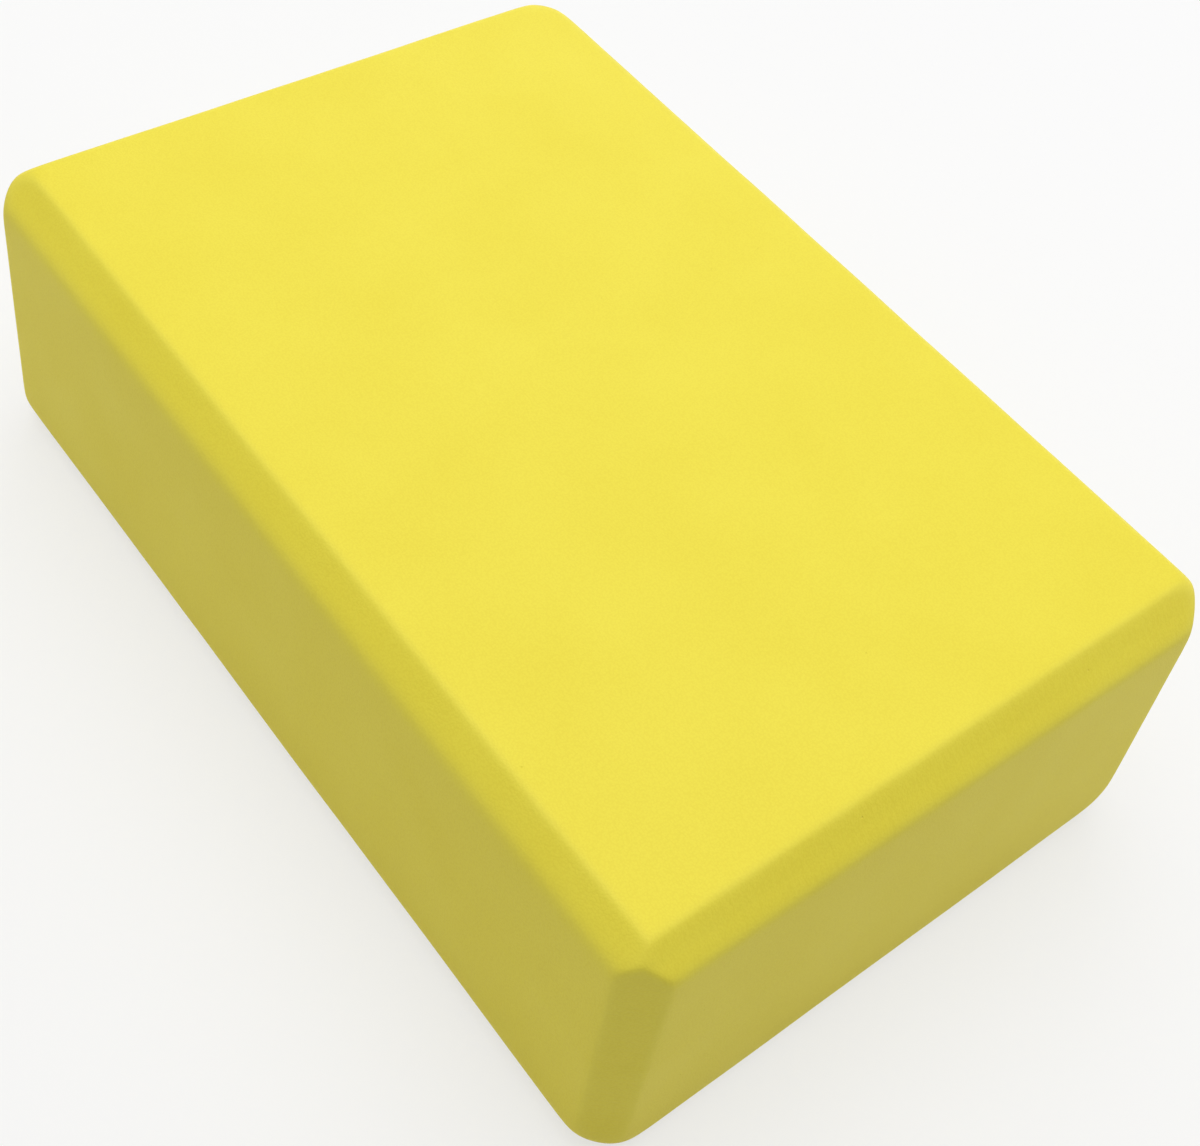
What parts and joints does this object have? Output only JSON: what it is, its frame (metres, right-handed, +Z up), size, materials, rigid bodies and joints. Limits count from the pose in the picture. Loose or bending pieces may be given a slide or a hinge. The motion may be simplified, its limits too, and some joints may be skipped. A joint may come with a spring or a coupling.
{
  "type": "yoga block",
  "caption": "Rectangular foam yoga block with flat chamfers on every edge and softened arrises, bonded from foam slabs; supports the body lying flat, on its side or on end.",
  "frame": {"origin": "middle of the underside, on the surface that the block lies on", "axes": "+X along the length, +Y across the width, +Z up through the thickness"},
  "size_m": [0.23, 0.15, 0.075],
  "materials": {
    "foam": "matte",
    "adhesive": "satin"
  },
  "bodies": {
    "root": {"upper_foam_slab": "foam", "lower_foam_slab": "foam", "bond_film": "adhesive"}
  },
  "joints": []
}
